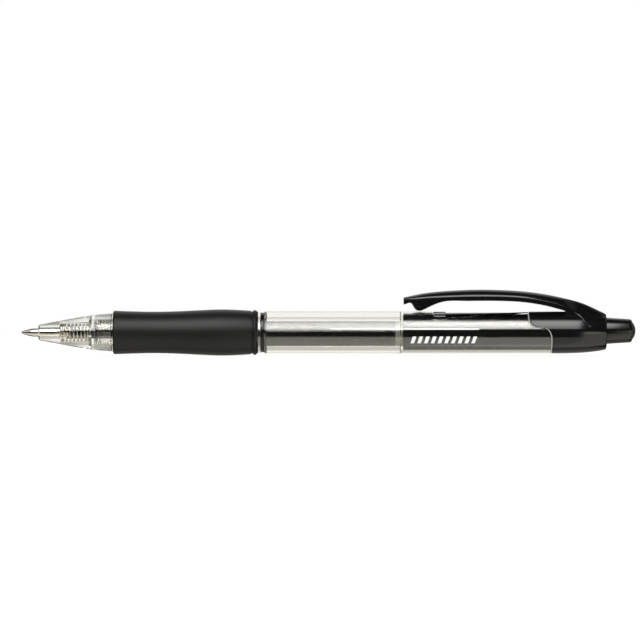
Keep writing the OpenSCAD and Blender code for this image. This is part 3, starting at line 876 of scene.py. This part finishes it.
def cap_ring(x, inset=0.0):
    """The cap's outline at x, from the bottom up the +Y side, over the crown and back down."""
    at = (x - STEP_X) / MM
    r = smooth(CAP_RADIUS, at) - inset
    half = smooth(CROWN_HALF, at) - inset
    edge = smooth(CROWN_EDGE, at) - inset
    foot = math.degrees(math.acos(min(1, half / r)))
    low = max(foot + 0.5, math.degrees(math.atan2(edge - BEVEL_H, half)))
    high = max(low + 0.3, math.degrees(math.atan2(edge, half - BEVEL_W)))
    # round the body, then up the crown's side, then over its top from the bevel to the middle
    angles = [-90 + (foot + 90) * i / 40 for i in range(41)]
    angles += [foot + (low - foot) * i / 8 for i in range(1, 9)]
    angles += [high + (90 - high) * (i / 30)**1.3 for i in range(31)]
    points = []
    for a in angles:
        c, s = math.cos(math.radians(a)), math.sin(math.radians(a))
        side = half / c if a < 89 else 99
        reach = max(r, min(side, crown_reach(at, inset, c, s))) * MM
        points.append((reach * c, reach * s))
    other = [(-y, z) for y, z in reversed(points[1:-1])]
    return [Vector((x, y, z)) for y, z in points + other]


def cap_shell():
    """The cap: its front on the parting line, the crown behind the clip, the bore and the button's hole."""
    end = cap_end
    hole_r, hole_chamfer = 3.28 * MM, 0.1 * MM
    floor_x = end - 4.1 * MM
    corner = 0.5 * MM
    lip = 0.12 * MM
    crowned = [cap_ring(SEAM_X + (end - corner - SEAM_X) * i / 70) for i in range(71)]
    for i in range(1, 9):
        a = math.pi / 2 * i / 8
        crowned.append(cap_ring(end - corner + corner * math.sin(a), corner / MM * (1 - math.cos(a))))
    turns = [math.atan2(q.y, q.z) for q in crowned[0]]

    def circle(r, x_of, rise=0.0):
        row = []
        for t in turns:
            y, z = r * math.sin(t), r * math.cos(t)
            row.append(Vector((x_of(z), y, z + rise)))
        return row

    def tapered(x_of, inset=0.0):
        row = circle(CAP_RADIUS[0][1] * MM, x_of)
        for v in row:
            r = smooth(CAP_RADIUS, (v.x - STEP_X) / MM) * MM - inset
            scale = r / math.hypot(v.y, v.z)
            v.y *= scale
            v.z *= scale
        return row

    rows = [tapered(parting_x, lip),
            tapered(lambda z: parting_x(z, lip * 0.3), lip * 0.35),
            tapered(lambda z: parting_x(z, lip))]
    for k in range(1, 25):
        rows.append(tapered(lambda z: parting_x(z, lip) * (1 - k / 24) + SEAM_X * k / 24))
    rows += crowned
    rows += [circle(hole_r + hole_chamfer, lambda z: end, BUTTON_RISE),
             circle(hole_r, lambda z: end - hole_chamfer, BUTTON_RISE),
             circle(hole_r, lambda z: floor_x, BUTTON_RISE),
             circle(SLEEVE_ROOM_R, lambda z: floor_x),
             circle(SLEEVE_ROOM_R, parting_x)]
    obj = grid("cap_shell", lifted(rows), closed_rows=True)
    keep_flats_flat(obj)
    return obj


place(cap_shell(), "barrel", "black_plastic", black, "rear_cap")


def click_button():
    """The button: flange, neck and domed end, whose middle stands a little above the pen's axis."""
    front, end = button_lo.x, button_hi.x
    neck_x, neck_r = front + 1.2 * MM, BUTTON_R + 0.05 * MM
    flange_r = (button_hi.y - button_lo.y) / 2
    side_r, rim, dome_r = BUTTON_R - 0.34 * MM, 0.75 * MM, 3.3 * MM
    bore_r = 2.1 * MM
    rim_x = end - 0.8 * MM - rim
    line = [(front, bore_r), (front, flange_r), (neck_x, flange_r), (neck_x + 0.01 * MM, neck_r),
            (cap_end - 0.2 * MM, BUTTON_R), (cap_end, BUTTON_R - 0.01 * MM)]
    # the side tapers, and ends in a round rim and a shallow dome
    taper = (BUTTON_R - side_r) / (rim_x - cap_end)
    for x in (cap_end + 0.2 * MM, rim_x - 0.6 * MM, rim_x - 0.2 * MM):
        line.append((x, BUTTON_R - taper * (x - cap_end)))
    line += [(rim_x + rim * math.cos(math.radians(a)), side_r - rim + rim * math.sin(math.radians(a)))
             for a in range(86, 19, -6)]
    line += [(end - dome_r + dome_r * math.cos(math.radians(a)), dome_r * math.sin(math.radians(a)))
             for a in range(40, -1, -4)]
    line += [(end - 3 * MM, 0), (end - 3 * MM, bore_r)]

    def warp(v):
        outside = v.x > neck_x and math.hypot(v.y, v.z - AXIS_Z) > bore_r + 0.01 * MM
        if outside or v.x > end - 2.9 * MM:
            v.z += BUTTON_RISE
        return v

    return spin("click_button", line, True, warp=warp)


place(click_button(), "button", "black_plastic", black, "push_button")

# ---------------------------------------------------------------- studio


def world():
    """Studio light by direction: a white room behind the pen, a softbox above and in front of it."""
    scene_world = bpy.data.worlds.new("studio")
    bpy.context.scene.world = scene_world
    tree = nodes_of(scene_world)
    direction = tree.nodes.new("ShaderNodeTexCoord").outputs["Generated"]
    x, y, z = add(tree, "ShaderNodeSeparateXYZ", Vector=direction).outputs
    degrees = 180 / math.pi
    elevation = math_node(tree, "MULTIPLY", math_node(tree, "ARCSINE", z), degrees)
    toward = math_node(tree, "MULTIPLY", y, -1.0)
    azimuth = math_node(tree, "MULTIPLY", math_node(tree, "ARCTAN2", x, toward), degrees)
    aside = math_node(tree, "MULTIPLY", math_node(tree, "ARCSINE", x), degrees)

    def product(*factors):
        result = factors[0]
        for factor in factors[1:]:
            result = math_node(tree, "MULTIPLY", result, factor)
        return result

    # the room behind the pen, dimmer overhead, near the table and to the sides
    high = ramp(tree, elevation, 56, 67, 1.0, 0.07)
    low = ramp(tree, elevation, -30, -12, 0.55, 1.0)
    behind = product(high, low, ramp(tree, math_node(tree, "ABSOLUTE", aside), 8, 19, 1.0, 0.25))
    # the softbox in front, with a sharp lower edge and a sharp right edge
    glow = ramp(tree, elevation, 19, 50, 0.55, 1.0)
    box = product(ramp(tree, elevation, 19, 21), glow, ramp(tree, elevation, 58, 78, 1.0, 0.0),
                  ramp(tree, azimuth, -36, -16, 0.12, 1.0), ramp(tree, aside, 8.2, 9.2, 1.0, 0.0))
    # the table in front of the pen, a white card below and to the right, and a small lamp at its height
    table = ramp(tree, elevation, -29, -26, 1.15, 0.05)
    card = product(ramp(tree, azimuth, 8, 13), ramp(tree, elevation, -1, 2, 1.0, 0.0))
    ahead = math_node(tree, "ADD", table, product(box, 9.0))
    ahead = math_node(tree, "MAXIMUM", ahead, product(card, 1.7))
    strip = product(ramp(tree, azimuth, 10, 13), ramp(tree, azimuth, 16, 30, 1.0, 0.0),
                    ramp(tree, elevation, -8, -5), ramp(tree, elevation, 4, 7, 1.0, 0.0))
    ahead = math_node(tree, "ADD", ahead, product(strip, 1.6))
    # both halves of the room, with a faint warm tint from below
    facing = ramp(tree, y, -0.04, 0.04)
    radiance = math_node(tree, "ADD", product(facing, behind),
                         product(math_node(tree, "SUBTRACT", 1.0, facing), ahead))
    upward = ramp(tree, elevation, -8, 8)
    tint = mix_colour(tree, upward, (1.0, 0.975, 0.88), (1.0, 0.995, 0.98))
    # where nothing stands in front of it, the room is plain white
    seen = tree.nodes.new("ShaderNodeLightPath").outputs["Is Camera Ray"]
    mixed = tree.nodes.new("ShaderNodeMix")
    tree.links.new(seen, mixed.inputs[0])
    tree.links.new(radiance, mixed.inputs[2])
    mixed.inputs[3].default_value = 1.0
    plain = tree.nodes.new("ShaderNodeMix")
    plain.data_type = "RGBA"
    tree.links.new(seen, plain.inputs[0])
    tree.links.new(tint, plain.inputs[6])
    plain.inputs[7].default_value = (1, 1, 1, 1)
    background = add(tree, "ShaderNodeBackground", Color=plain.outputs[2], Strength=mixed.outputs[0])
    out = tree.nodes.new("ShaderNodeOutputWorld")
    tree.links.new(background.outputs[0], out.inputs["Surface"])


def floor():
    """Plain pale floor under the pen."""
    half = 2.0
    corners = [[Vector((x, y, 0)) for x in (-half, half)] for y in (-half, half)]
    obj = grid("floor", corners, around=False)
    pale = surface("floor", (0.54, 0.54, 0.54), (0.56, 0.56, 0.56), (0.6, 0.7), 40,
                   Emission_Color=(1, 1, 1, 1), Emission_Strength=0.55)
    obj.data.materials.append(pale)
    obj.visible_glossy = False
    obj.visible_transmission = False


def camera():
    """Level view along +Y, a little in front of the pen's middle and above its axis."""
    data = bpy.data.cameras.new("camera")
    data.sensor_width = 36
    distance, view_width = 1.2, 0.1522
    data.lens = data.sensor_width * distance / view_width
    data.clip_start = 0.05
    data.clip_end = 20
    obj = bpy.data.objects.new("camera", data)
    bpy.context.scene.collection.objects.link(obj)
    obj.location = (-2.02 * MM, -distance, AXIS_Z + 2.97 * MM)
    obj.rotation_euler = (math.radians(90), 0, 0)
    bpy.context.scene.camera = obj


world()
floor()
camera()
bpy.context.scene.view_settings.view_transform = "Standard"
